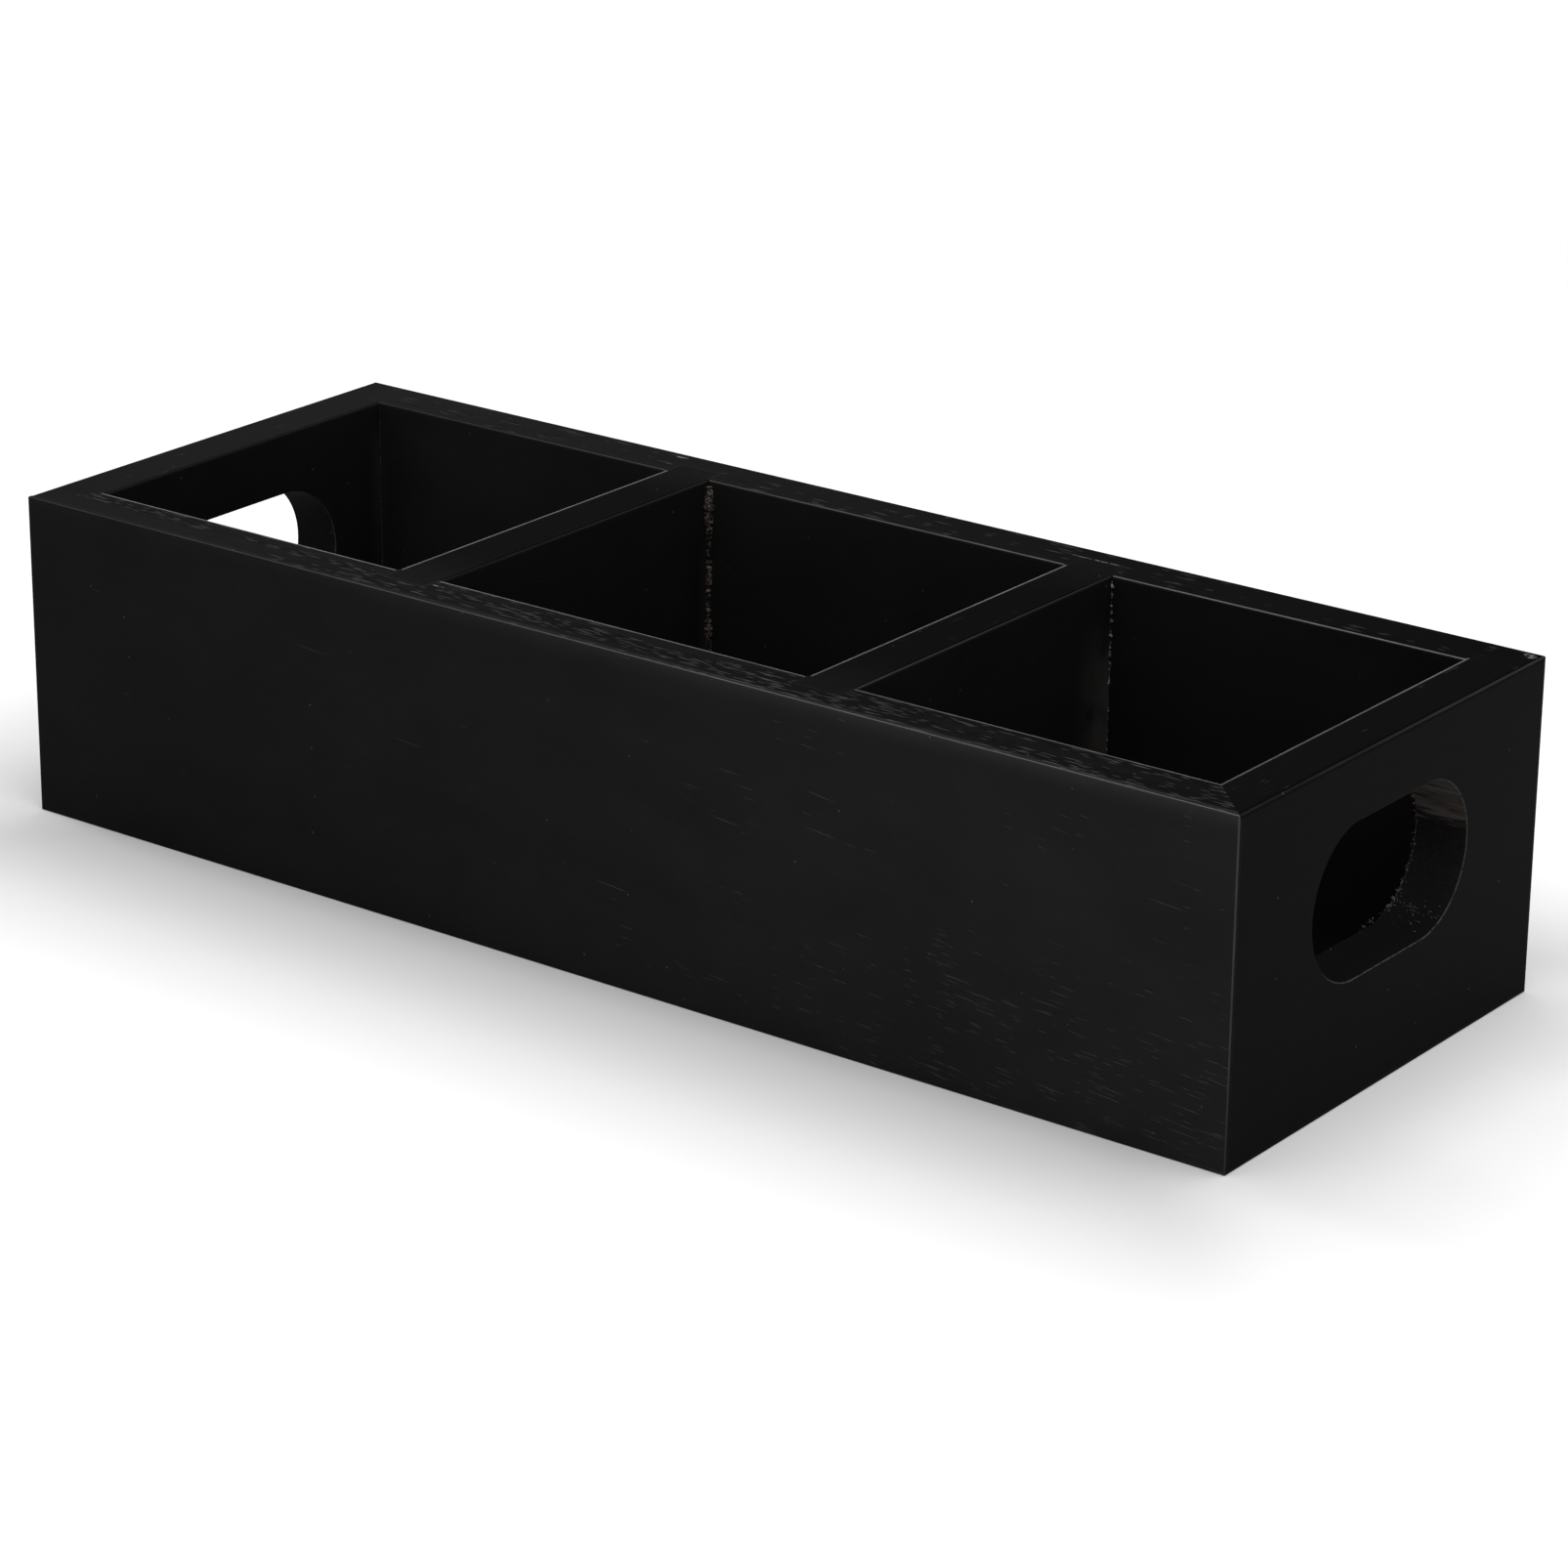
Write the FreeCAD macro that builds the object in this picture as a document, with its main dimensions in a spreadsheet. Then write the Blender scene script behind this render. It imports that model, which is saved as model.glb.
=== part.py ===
import FreeCAD, Part
import os
from math import pi
import Sketcher
from FreeCAD import Placement, Rotation, Vector

# Open wooden tea caddy: four mitred walls, two housed dividers and a base let in from below.
# The origin is at the middle of the footprint, on the surface that the box stands on.
# +X runs along the box, +Y to its back and +Z up. All sizes are in millimetres.

SIZES = {
    "overall_length": 350,
    "overall_width": 128,
    "overall_height": 82,
    "wall_thickness": 13.5,
    "divider_thickness": 13.5,
    "divider_spacing": 120,
    "housing_depth": 6.5,
    "rebate_depth": 6.5,
    "rebate_height": 7,
    "base_thickness": 6,
    "glue_gap": 0.05,
    "base_clearance": 0.25,
    "slot_length": 65,
    "slot_height": 37,
    "slot_below_rim": 16,
    "slot_edge_bevel": 0.35,
    "rim_radius": 0.8,
    "end_rim_radius": 1.2,
    "foot_radius": 0.4,
    "corner_radius": 0.5,
    "brad_length": 16,
    "brad_wire": 1.2,
    "brad_head_length": 2.2,
    "brad_head_thickness": 0.6,
    "brad_point": 0.4,
    "pin_length": 20,
    "pin_wire": 0.8,
    "pin_set_depth": 1,
    "pin_inset": 5,
    "nail_clearance": 0.05,
    "nail_tip_gap": 0.3,
}

CORNER_PIN_ROWS = 3
MITRE_ANGLE = 45
TOUCH = 1e-4

document = FreeCAD.newDocument("tea_caddy")
sheet = document.addObject("Spreadsheet::Sheet", "Size")
for row, (name, value) in enumerate(SIZES.items(), 1):
    sheet.set(f"A{row}", name)
    sheet.set(f"B{row}", str(value))
    sheet.setAlias(f"B{row}", name)
document.recompute()

# Places that several pieces share, as expressions over the sheet.
HALF_LENGTH = "Size.overall_length / 2"
HALF_WIDTH = "Size.overall_width / 2"
INNER_WIDTH = "(Size.overall_width - 2 * Size.wall_thickness)"
HALF_SPACING = "Size.divider_spacing / 2"
DIVIDER_OUTER_FACE = "Size.divider_spacing / 2 + Size.divider_thickness / 2"
OUTER_CELL_CENTRE = f"({HALF_LENGTH} - Size.wall_thickness + {DIVIDER_OUTER_FACE}) / 2"
LEDGE_INSET = "(Size.wall_thickness - Size.rebate_depth / 2)"
CROSS_BRAD = f"{INNER_WIDTH} / 4"
BASE_UNDERSIDE = "Size.rebate_height - Size.base_thickness"
SLOT_CENTRE = "Size.overall_height - Size.slot_below_rim - Size.slot_height / 2"
BRAD_HOLE = "Size.brad_wire + 2 * Size.nail_clearance"
PIN_HOLE = "Size.pin_wire + 2 * Size.nail_clearance"


def measure(expression):
    """Value of an expression over the sheet, in millimetres."""
    return float(sheet.evalExpression(expression))


def pin_heights():
    """Heights of the corner pins, spread evenly over the mitre above the base."""
    share = "(Size.overall_height - Size.rebate_height)"
    steps = range(1, 2 * CORNER_PIN_ROWS, 2)
    return [f"Size.rebate_height + {share} * {step} / {2 * CORNER_PIN_ROWS}" for step in steps]


def plane(body, role):
    """One of the body's own origin planes."""
    return next(item for item in body.Origin.OriginFeatures if item.Role == role)


def new_body(label):
    body = document.addObject("PartDesign::Body", label)
    body.Label = label
    return body


def new_sketch(body, name, role="XY_Plane", offset=None):
    """Empty sketch on an origin plane, moved along the plane's normal by an expression."""
    sketch = body.newObject("Sketcher::SketchObject", f"{body.Label}_{name}")
    sketch.AttachmentSupport = (plane(body, role), [""])
    sketch.MapMode = "FlatFace"
    if offset:
        sketch.setExpression("AttachmentOffset.Base.z", offset)
    return sketch


def constrain(sketch, expression, kind, *where):
    """Dimension whose value follows an expression over the sheet."""
    index = sketch.addConstraint(Sketcher.Constraint(kind, *where, measure(expression)))
    sketch.setExpression(f"Constraints[{index}]", expression)


def fix_point(sketch, item, point, across, up):
    """Holds a point of a sketch at two expressions from the sketch's origin."""
    constrain(sketch, across, "DistanceX", -1, 1, item, point)
    constrain(sketch, up, "DistanceY", -1, 1, item, point)


def closed_lines(sketch, corners):
    """Lines through the corners and back to the first, joined end to end."""
    lines = []
    for start, end in zip(corners, corners[1:] + corners[:1]):
        lines.append(sketch.addGeometry(Part.LineSegment(start, end)))
    for line, following in zip(lines, lines[1:] + lines[:1]):
        sketch.addConstraint(Sketcher.Constraint("Coincident", line, 2, following, 1))
    return lines


def rectangle(sketch, left, low, width, height):
    """Upright rectangle from its lower left corner, all four values expressions."""
    x, y, w, t = (measure(value) for value in (left, low, width, height))
    corners = [Vector(x, y), Vector(x + w, y), Vector(x + w, y + t), Vector(x, y + t)]
    bottom, right, top, side = closed_lines(sketch, corners)
    for line in (bottom, top):
        sketch.addConstraint(Sketcher.Constraint("Horizontal", line))
    for line in (right, side):
        sketch.addConstraint(Sketcher.Constraint("Vertical", line))
    fix_point(sketch, bottom, 1, left, low)
    constrain(sketch, width, "DistanceX", bottom, 1, bottom, 2)
    constrain(sketch, height, "DistanceY", right, 1, right, 2)


def wire_sections(sketch, centres, width, height=None):
    """Square sections of wire, or flat ones, round centres that are pairs of expressions."""
    height = height or width
    for across, up in centres:
        rectangle(sketch, f"{across} - ({width}) / 2", f"{up} - ({height}) / 2", width, height)


def mitred_outline(sketch, length, outer_face):
    """Plan of a wall: long outer edge, both ends cut at the mitre angle towards the middle."""
    half, face = measure(length) / 2, measure(outer_face)
    inner = face + measure("Size.wall_thickness")
    reach = half - measure("Size.wall_thickness")
    corners = [Vector(-half, face), Vector(half, face), Vector(reach, inner), Vector(-reach, inner)]
    outer_line, right_mitre, inner_line, left_mitre = closed_lines(sketch, corners)
    for line in (outer_line, inner_line):
        sketch.addConstraint(Sketcher.Constraint("Symmetric", line, 1, line, 2, -2))
    sketch.addConstraint(Sketcher.Constraint("Angle", outer_line, 1, left_mitre, 2, MITRE_ANGLE * pi / 180))
    constrain(sketch, outer_face, "DistanceY", -1, 1, outer_line, 1)
    constrain(sketch, length, "DistanceX", outer_line, 1, outer_line, 2)
    constrain(sketch, "Size.wall_thickness", "DistanceY", outer_line, 1, inner_line, 2)


def corner_spandrel(sketch, across, up):
    """The sliver between a sharp corner at (across, up) and the arc that rounds it."""
    x, y, radius = measure(across), measure(up), measure("Size.corner_radius")
    tip, start, end = Vector(x, y), Vector(x - radius, y), Vector(x, y + radius)
    face_line = sketch.addGeometry(Part.LineSegment(start, tip))
    end_line = sketch.addGeometry(Part.LineSegment(tip, end))
    round_circle = Part.Circle(Vector(x - radius, y + radius), Vector(0, 0, 1), radius)
    arc = sketch.addGeometry(Part.ArcOfCircle(round_circle, -pi / 2, 0))
    sketch.addConstraint(Sketcher.Constraint("Coincident", face_line, 2, end_line, 1))
    sketch.addConstraint(Sketcher.Constraint("Horizontal", face_line))
    sketch.addConstraint(Sketcher.Constraint("Vertical", end_line))
    sketch.addConstraint(Sketcher.Constraint("Tangent", arc, 1, face_line, 1))
    sketch.addConstraint(Sketcher.Constraint("Tangent", arc, 2, end_line, 2))
    fix_point(sketch, face_line, 2, across, up)
    constrain(sketch, "Size.corner_radius", "Radius", arc)


def obround(sketch):
    """Hand slot: two half circles joined by level lines, centred on the wall."""
    radius, height = measure("Size.slot_height / 2"), measure(SLOT_CENTRE)
    reach = measure("Size.slot_length / 2") - radius
    axis = Vector(0, 0, 1)
    right_circle = Part.Circle(Vector(reach, height), axis, radius)
    left_circle = Part.Circle(Vector(-reach, height), axis, radius)
    right = sketch.addGeometry(Part.ArcOfCircle(right_circle, -pi / 2, pi / 2))
    left = sketch.addGeometry(Part.ArcOfCircle(left_circle, pi / 2, 3 * pi / 2))
    high, low = height + radius, height - radius
    top = sketch.addGeometry(Part.LineSegment(Vector(reach, high), Vector(-reach, high)))
    bottom = sketch.addGeometry(Part.LineSegment(Vector(-reach, low), Vector(reach, low)))
    for arc, line in ((right, top), (left, bottom)):
        sketch.addConstraint(Sketcher.Constraint("Tangent", arc, 2, line, 1))
    for line, arc in ((top, left), (bottom, right)):
        sketch.addConstraint(Sketcher.Constraint("Tangent", line, 2, arc, 1))
    sketch.addConstraint(Sketcher.Constraint("Symmetric", left, 3, right, 3, -2))
    sketch.addConstraint(Sketcher.Constraint("Horizontal", top))
    constrain(sketch, SLOT_CENTRE, "DistanceY", -1, 1, right, 3)
    constrain(sketch, "Size.slot_length - Size.slot_height", "DistanceX", left, 3, right, 3)
    constrain(sketch, "Size.slot_height / 2", "Radius", right)


def pad(body, sketch, length, against_normal=False):
    feature = body.newObject("PartDesign::Pad", f"{sketch.Name}_pad")
    feature.Profile = sketch
    feature.setExpression("Length", length)
    feature.Reversed = against_normal
    document.recompute()
    return feature


def pocket(body, sketch, depth=None, along_normal=False):
    """Pocket of a depth, or right through the body both ways where no depth is given."""
    before = body.Tip.Shape.Volume
    feature = body.newObject("PartDesign::Pocket", f"{sketch.Name}_pocket")
    feature.Profile = sketch
    if depth is None:
        feature.Type = "ThroughAll"
        feature.Midplane = True
    else:
        feature.setExpression("Length", depth)
        feature.Reversed = along_normal
    document.recompute()
    if feature.Shape.Volume >= before:
        raise RuntimeError(f"{feature.Label} cuts nothing")
    return feature


def mirror(body, features, role):
    feature = body.newObject("PartDesign::Mirrored", f"{features[0].Name}_mirror")
    feature.Originals = features
    feature.MirrorPlane = (plane(body, role), [""])
    body.Tip = feature
    document.recompute()
    return feature


def dress_edges(body, name, size, wanted, kind="Fillet"):
    """Fillet, or chamfer, on the edges that a test of their bounding box picks out."""
    base = body.Tip
    picked = [f"Edge{n}" for n, edge in enumerate(base.Shape.Edges, 1) if wanted(edge.BoundBox)]
    feature = body.newObject(f"PartDesign::{kind}", f"{body.Label}_{name}")
    feature.Base = (base, picked)
    feature.setExpression("Radius" if kind == "Fillet" else "Size", size)
    document.recompute()
    return feature


def near(a, b):
    return abs(a - b) < TOUCH


def edge_along_x(y, z):
    """Test for the straight edge along X that lies at a given y and z."""
    return lambda box: near(box.YMin, y) and near(box.YMax, y) and near(box.ZMin, z) and near(box.ZMax, z)


def brad_holes(body, centres):
    """Blind holes up from below for the shanks of the base brads, past their points."""
    sketch = new_sketch(body, "brad_holes")
    wire_sections(sketch, centres, BRAD_HOLE)
    pocket(body, sketch, f"{BASE_UNDERSIDE} + Size.brad_length + Size.nail_tip_gap", along_normal=True)


def wall(label, turn, length, reach, outer_rim_radius, extras):
    """Mitred wall with its outer face at -reach in Y, then turned about the box's middle.

    extras adds the cuts that only this kind of wall has.
    """
    body = new_body(label)
    outline = new_sketch(body, "outline")
    mitred_outline(outline, length, f"-({reach})")
    pad(body, outline, "Size.overall_height")

    outer, top = -measure(reach), measure("Size.overall_height")
    inner = outer + measure("Size.wall_thickness")
    dress_edges(body, "outer_rim", outer_rim_radius, edge_along_x(outer, top))
    dress_edges(body, "mouth_edge", "Size.rim_radius", edge_along_x(inner, top))
    dress_edges(body, "foot_edge", "Size.foot_radius", edge_along_x(outer, 0))

    rebate = new_sketch(body, "rebate")
    rebate_start = f"Size.wall_thickness - Size.rebate_depth - ({reach})"
    rectangle(rebate, f"-({length}) / 2", rebate_start, length, "Size.rebate_depth")
    pocket(body, rebate, "Size.rebate_height", along_normal=True)

    corner = new_sketch(body, "corner")
    corner_spandrel(corner, f"({length}) / 2", f"-({reach})")
    mirror(body, [pocket(body, corner)], "YZ_Plane")

    extras(body)
    body.Placement = Placement(Vector(0, 0, 0), Rotation(Vector(0, 0, 1), turn))
    return body


def long_wall_extras(body):
    """Housings for both dividers, brad holes at the middle of each cell, corner pin holes."""
    housings = new_sketch(body, "housings")
    housing_width = "Size.divider_thickness + 2 * Size.glue_gap"
    bottom = f"Size.wall_thickness - Size.housing_depth - {HALF_WIDTH}"
    for side in ("-", ""):
        left = f"{side}{HALF_SPACING} - ({housing_width}) / 2"
        rectangle(housings, left, bottom, housing_width, "Size.housing_depth")
    pocket(body, housings)

    line = f"{LEDGE_INSET} - {HALF_WIDTH}"
    brad_holes(body, [(f"-{OUTER_CELL_CENTRE}", line), ("0", line), (OUTER_CELL_CENTRE, line)])

    pins = new_sketch(body, "pin_holes", "XZ_Plane", f"{HALF_WIDTH} - Size.pin_set_depth")
    wire_sections(pins, corner_pin_centres(), PIN_HOLE)
    pocket(body, pins, "Size.pin_length + Size.nail_tip_gap")


def corner_pin_centres():
    """Corner pins of one long side, as places across and up."""
    inset = f"({HALF_LENGTH} - Size.pin_inset)"
    return [(f"{side}{inset}", height) for side in ("-", "") for height in pin_heights()]


def end_wall_extras(body):
    """Hand slot with eased edges, brad holes, and the far ends of the corner pin holes."""
    slot = new_sketch(body, "hand_slot", "XZ_Plane")
    obround(slot)
    pocket(body, slot)
    outer = -measure(HALF_LENGTH)
    faces = (outer, outer + measure("Size.wall_thickness"))
    low = measure(f"{SLOT_CENTRE} - Size.slot_height / 2") - TOUCH
    high = measure(f"{SLOT_CENTRE} + Size.slot_height / 2") + TOUCH
    dress_edges(
        body,
        "slot_edges",
        "Size.slot_edge_bevel",
        lambda box: any(near(box.YMin, face) and near(box.YMax, face) for face in faces)
        and low < box.ZMin
        and box.ZMax < high,
        kind="Chamfer",
    )

    line = f"{LEDGE_INSET} - {HALF_LENGTH}"
    brad_holes(body, [(f"-{CROSS_BRAD}", line), (CROSS_BRAD, line)])

    pins = new_sketch(body, "pin_holes", "YZ_Plane", f"{HALF_WIDTH} - Size.pin_set_depth")
    depth_line = f"Size.pin_inset - {HALF_LENGTH}"
    wire_sections(pins, [(depth_line, height) for height in pin_heights()], PIN_HOLE)
    mirror(body, [pocket(body, pins, "Size.pin_length + Size.nail_tip_gap")], "YZ_Plane")


def divider(label, place):
    """Board across the box: eased between the walls, left square where it enters the housings."""
    body = new_body(label)
    board = new_sketch(body, "board")
    board_height = "Size.overall_height - Size.rebate_height"
    left = "-Size.divider_thickness / 2"
    rectangle(board, left, f"-{INNER_WIDTH} / 2", "Size.divider_thickness", INNER_WIDTH)
    pad(body, board, board_height)

    top, half = measure(board_height), measure("Size.divider_thickness / 2")
    dress_edges(
        body,
        "mouth_edges",
        "Size.rim_radius",
        lambda box: near(box.ZMin, top) and near(box.XMin, box.XMax) and near(abs(box.XMin), half),
    )

    tongue = new_sketch(body, "tongue")
    tongue_length = "Size.housing_depth - Size.glue_gap"
    rectangle(tongue, left, f"{INNER_WIDTH} / 2", "Size.divider_thickness", tongue_length)
    mirror(body, [pad(body, tongue, board_height)], "XZ_Plane")

    holes = new_sketch(body, "brad_holes")
    wire_sections(holes, [("0", f"-{CROSS_BRAD}"), ("0", CROSS_BRAD)], BRAD_HOLE)
    depth = "Size.brad_length - Size.base_thickness + Size.nail_tip_gap"
    pocket(body, holes, depth, along_normal=True)
    body.setExpression("Placement.Base.x", place)
    body.setExpression("Placement.Base.z", "Size.rebate_height")
    return body


def base_brad_centres():
    """Every base brad, as places along and across the box."""
    ledge = f"({HALF_WIDTH} - {LEDGE_INSET})"
    end_ledge = f"({HALF_LENGTH} - {LEDGE_INSET})"
    centres = []
    for side in ("-", ""):
        for across in (f"-{OUTER_CELL_CENTRE}", "0", OUTER_CELL_CENTRE):
            centres.append((across, f"{side}{ledge}"))
        for across in (f"-{end_ledge}", f"-{HALF_SPACING}", HALF_SPACING, end_ledge):
            centres.append((across, f"{side}{CROSS_BRAD}"))
    return centres


def base_panel():
    """Base let into the walls' rebate, a little short of it all round, drilled for its brads."""
    body = new_body("base_panel")
    board = new_sketch(body, "board", offset=BASE_UNDERSIDE)
    lip = "(Size.wall_thickness - Size.rebate_depth + Size.base_clearance)"
    length = f"Size.overall_length - 2 * {lip}"
    width = f"Size.overall_width - 2 * {lip}"
    rectangle(board, f"-({length}) / 2", f"-({width}) / 2", length, width)
    pad(body, board, "Size.base_thickness")

    shanks = new_sketch(body, "brad_holes")
    wire_sections(shanks, base_brad_centres(), BRAD_HOLE)
    pocket(body, shanks)
    heads = new_sketch(body, "brad_head_seats", offset=BASE_UNDERSIDE)
    seat_length = "Size.brad_head_length + 2 * Size.nail_clearance"
    wire_sections(heads, base_brad_centres(), seat_length, BRAD_HOLE)
    pocket(body, heads, "Size.brad_head_thickness", along_normal=True)
    return body


def base_brads():
    """Square-wire brads with T heads, flush with the base's underside, and chisel points up."""
    body = new_body("base_brads")
    heads = new_sketch(body, "heads", offset=BASE_UNDERSIDE)
    wire_sections(heads, base_brad_centres(), "Size.brad_head_length", "Size.brad_wire")
    pad(body, heads, "Size.brad_head_thickness")
    shanks = new_sketch(body, "shanks", offset=f"{BASE_UNDERSIDE} + Size.brad_head_thickness")
    wire_sections(shanks, base_brad_centres(), "Size.brad_wire")
    pad(body, shanks, "Size.brad_length - Size.brad_head_thickness")
    tip = measure(f"{BASE_UNDERSIDE} + Size.brad_length")
    dress_edges(
        body,
        "points",
        "Size.brad_point",
        lambda box: near(box.ZMin, tip) and near(box.YMin, box.YMax),
        kind="Chamfer",
    )
    return body


def corner_pins():
    """Headless square-wire pins through each mitre, from the long walls into the end walls."""
    body = new_body("corner_pins")
    sketch = new_sketch(body, "front_pins", "XZ_Plane", f"{HALF_WIDTH} - Size.pin_set_depth")
    wire_sections(sketch, corner_pin_centres(), "Size.pin_wire")
    mirror(body, [pad(body, sketch, "Size.pin_length", against_normal=True)], "XZ_Plane")
    return body


pieces = [
    wall("front_panel", 0, "Size.overall_length", HALF_WIDTH, "Size.rim_radius", long_wall_extras),
    wall("right_end_panel", 90, "Size.overall_width", HALF_LENGTH, "Size.end_rim_radius", end_wall_extras),
    wall("back_panel", 180, "Size.overall_length", HALF_WIDTH, "Size.rim_radius", long_wall_extras),
    wall("left_end_panel", 270, "Size.overall_width", HALF_LENGTH, "Size.end_rim_radius", end_wall_extras),
    divider("left_divider", f"-{HALF_SPACING}"),
    divider("right_divider", HALF_SPACING),
    base_panel(),
    base_brads(),
    corner_pins(),
]
document.recompute()

failed = [item.Label for item in document.Objects if {"Invalid", "Error"} & set(item.State)]
if failed:
    raise RuntimeError(f"features that failed: {failed}")
for piece in pieces:
    if piece.Shape.isNull() or not piece.Shape.isValid():
        raise RuntimeError(f"{piece.Label} has no valid shape")

os.makedirs("parts", exist_ok=True)
for piece in pieces:
    piece.Shape.exportStep(os.path.join("parts", f"{piece.Label}.step"))
    solids, volume = len(piece.Shape.Solids), piece.Shape.Volume
    print(f"{piece.Label}: {solids} solid(s), {volume / 1000:.2f} cm3")
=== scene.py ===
import math
import random

import bpy
from mathutils import Matrix, Vector, noise

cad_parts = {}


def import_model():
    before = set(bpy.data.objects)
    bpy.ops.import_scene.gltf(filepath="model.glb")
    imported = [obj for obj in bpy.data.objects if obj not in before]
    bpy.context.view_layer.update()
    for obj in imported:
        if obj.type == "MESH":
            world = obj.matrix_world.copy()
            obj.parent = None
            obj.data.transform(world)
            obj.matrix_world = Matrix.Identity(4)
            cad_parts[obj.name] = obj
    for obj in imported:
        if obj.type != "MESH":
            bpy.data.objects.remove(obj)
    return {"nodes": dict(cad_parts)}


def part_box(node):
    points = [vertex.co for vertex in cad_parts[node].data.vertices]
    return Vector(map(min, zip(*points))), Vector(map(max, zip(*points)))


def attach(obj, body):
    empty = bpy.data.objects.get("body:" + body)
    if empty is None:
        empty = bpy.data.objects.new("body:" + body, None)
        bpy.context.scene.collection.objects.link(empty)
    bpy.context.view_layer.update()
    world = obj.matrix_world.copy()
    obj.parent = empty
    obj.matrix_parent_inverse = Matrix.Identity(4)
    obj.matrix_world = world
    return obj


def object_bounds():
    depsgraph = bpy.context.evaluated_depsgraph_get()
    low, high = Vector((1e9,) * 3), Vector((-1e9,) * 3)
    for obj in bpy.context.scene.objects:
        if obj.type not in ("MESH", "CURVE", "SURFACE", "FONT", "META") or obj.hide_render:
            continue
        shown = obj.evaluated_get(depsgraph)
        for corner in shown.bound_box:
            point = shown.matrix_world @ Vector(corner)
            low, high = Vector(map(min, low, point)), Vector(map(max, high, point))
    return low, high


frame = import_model()
cad_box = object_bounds()

# Black lacquered tea caddy. Objects are in metres, in the frame of the CAD model, and materials
# work in millimetres in that same frame.

MM = 0.001

# Sizes that the materials and the added pieces share with the CAD model, in millimetres.
HALF_LENGTH, HALF_WIDTH, TOP = (side / MM for side in cad_box[1])
WALL = 13.5
INNER_X = HALF_LENGTH - WALL
INNER_Y = HALF_WIDTH - WALL
BASE_TOP = 7
DIVIDER = 13.5
DIVIDER_PLACE = 60
SLOT_LENGTH = 65
SLOT_HEIGHT = 37
SLOT_BELOW_RIM = 16

# The round ends of a hand slot: their radius, and how far out and how high their centres are.
SLOT_RADIUS = SLOT_HEIGHT / 2
SLOT_REACH = SLOT_LENGTH / 2 - SLOT_RADIUS
SLOT_MIDDLE = TOP - SLOT_BELOW_RIM - SLOT_RADIUS

# Camera, from a fit to the corners of the box in the photograph: metres, degrees and millimetres.
CAMERA_PLACE = (0.70196, -0.92031, 0.46589)
CAMERA_AZIMUTH = 36.98
CAMERA_ELEVATION = 20.68
CAMERA_ROLL = 0.52
CAMERA_LENS = 119.3
CAMERA_SENSOR = 36

# Lamps: name, place, target, width and depth in metres, power in watts. The broad one lights the box
# softly from above, and the narrow one, high on the left, draws the upper edges.
LAMPS = (
    ("overhead_softbox", (0.25, 0.0, 1.30), (0, 0, 0), 1.2, 1.3, 14),
    ("edge_strip", (-0.80, 0.0, 1.22), (0, 0, 0.04), 0.16, 0.8, 3),
)

# World: strength of its light, and of the ceiling that the lacquer mirrors. The ceiling grows paler to
# the left, and ends in a white horizon.
WORLD_LIGHT = 0.46
CEILING_DARK = 0.04
CEILING_PALE = 0.50
CEILING_TURN = (-0.45, 0.15)
HORIZON = (0.16, 0.02)

# Floor: its half side, colour and glow for seen rays, where its open part begins and is full, and the
# shade round the box. Lengths are in metres.
FLOOR_HALF = 6.0
FLOOR_WHITE = (0.86, 0.86, 0.86, 1)
FLOOR_LIFT = 0.14
OPEN_FLOOR = (0.40, 0.75)
SHADE_REACH = 0.10
SHADE_AT_SIDES = 0.34
SHADE_AT_ENDS = 0.18
SHADE_CORNER = (-0.01, 0.03)

# Linear colours.
WHITE = (1, 1, 1, 1)
BLACK = (0, 0, 0, 1)
LACQUER_DEEP = (0.0072, 0.0072, 0.0073, 1)
LACQUER_PALE = (0.0084, 0.0084, 0.0083, 1)
# Pale grey of the pores, painted as the highlight that their edges catch.
PORE_HIGHLIGHT_GREY = (0.060, 0.060, 0.059, 1)
# Pale grey of torn grain, painted as its highlight, and black of the painted shadow in the gaps beside it.
TORN_HIGHLIGHT_GREY = (0.115, 0.114, 0.111, 1)
GAP_SHADOW_BLACK = (0.0008, 0.0008, 0.0008, 1)
# Pale grey of worn lacquer, also painted along the edges as their highlight.
WEAR_AND_HIGHLIGHT_GREY = (0.200, 0.198, 0.194, 1)
DUST_GREY = (0.22, 0.22, 0.21, 1)
BARE_DARK = (0.028, 0.0245, 0.022, 1)
BARE_PALE = (0.072, 0.063, 0.057, 1)
CUT_DEEP = (0.0085, 0.0085, 0.0085, 1)
CUT_PALE = (0.0135, 0.0134, 0.0132, 1)
CUT_LOW = (0.0052, 0.0052, 0.0052, 1)
SMUDGE_BROWN = (0.044, 0.041, 0.039, 1)
SMUDGE_GREY = (0.020, 0.019, 0.0185, 1)
STAIN_DEEP = (0.0045, 0.0043, 0.0040, 1)
STAIN_PALE = (0.0150, 0.0135, 0.0120, 1)
PAINTED_SHADE_INSIDE = (0.0018, 0.0018, 0.0018, 1)
GLUE_DARK = (0.016, 0.010, 0.008, 1)
GLUE_TAN = (0.270, 0.215, 0.180, 1)
GLUE_PALE = (0.340, 0.310, 0.290, 1)
FIBRE_DARK = (0.020, 0.019, 0.018, 1)
FIBRE_PALE = (0.240, 0.235, 0.228, 1)
STEEL_DARK = (0.30, 0.30, 0.31, 1)
STEEL_PALE = (0.52, 0.52, 0.53, 1)

LACQUER_SPECULAR = 0.012
MATT_SPECULAR = 0.015
GLUE_SPECULAR = 0.4
STEEL_SPECULAR = 0.5

# Roughness of plain lacquer, of edges that hands polish, of open grain and of the cut slot walls.
LACQUER_ROUGHNESS = 0.38
POLISHED_ROUGHNESS = 0.24
GRAIN_ROUGHNESS = 0.6
CUT_ROUGHNESS = 0.7

# How far each mark on the lacquer takes it to the mark's own colour.
PORE_SHARE = 0.8
TORN_SHARE = 0.42
GAP_SHARE = 0.6
CHIP_SHARE = 0.75
DUST_SHARE = 0.22
CRUMB_SHARE = 0.30
CORNER_SHARE = 0.22

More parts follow.
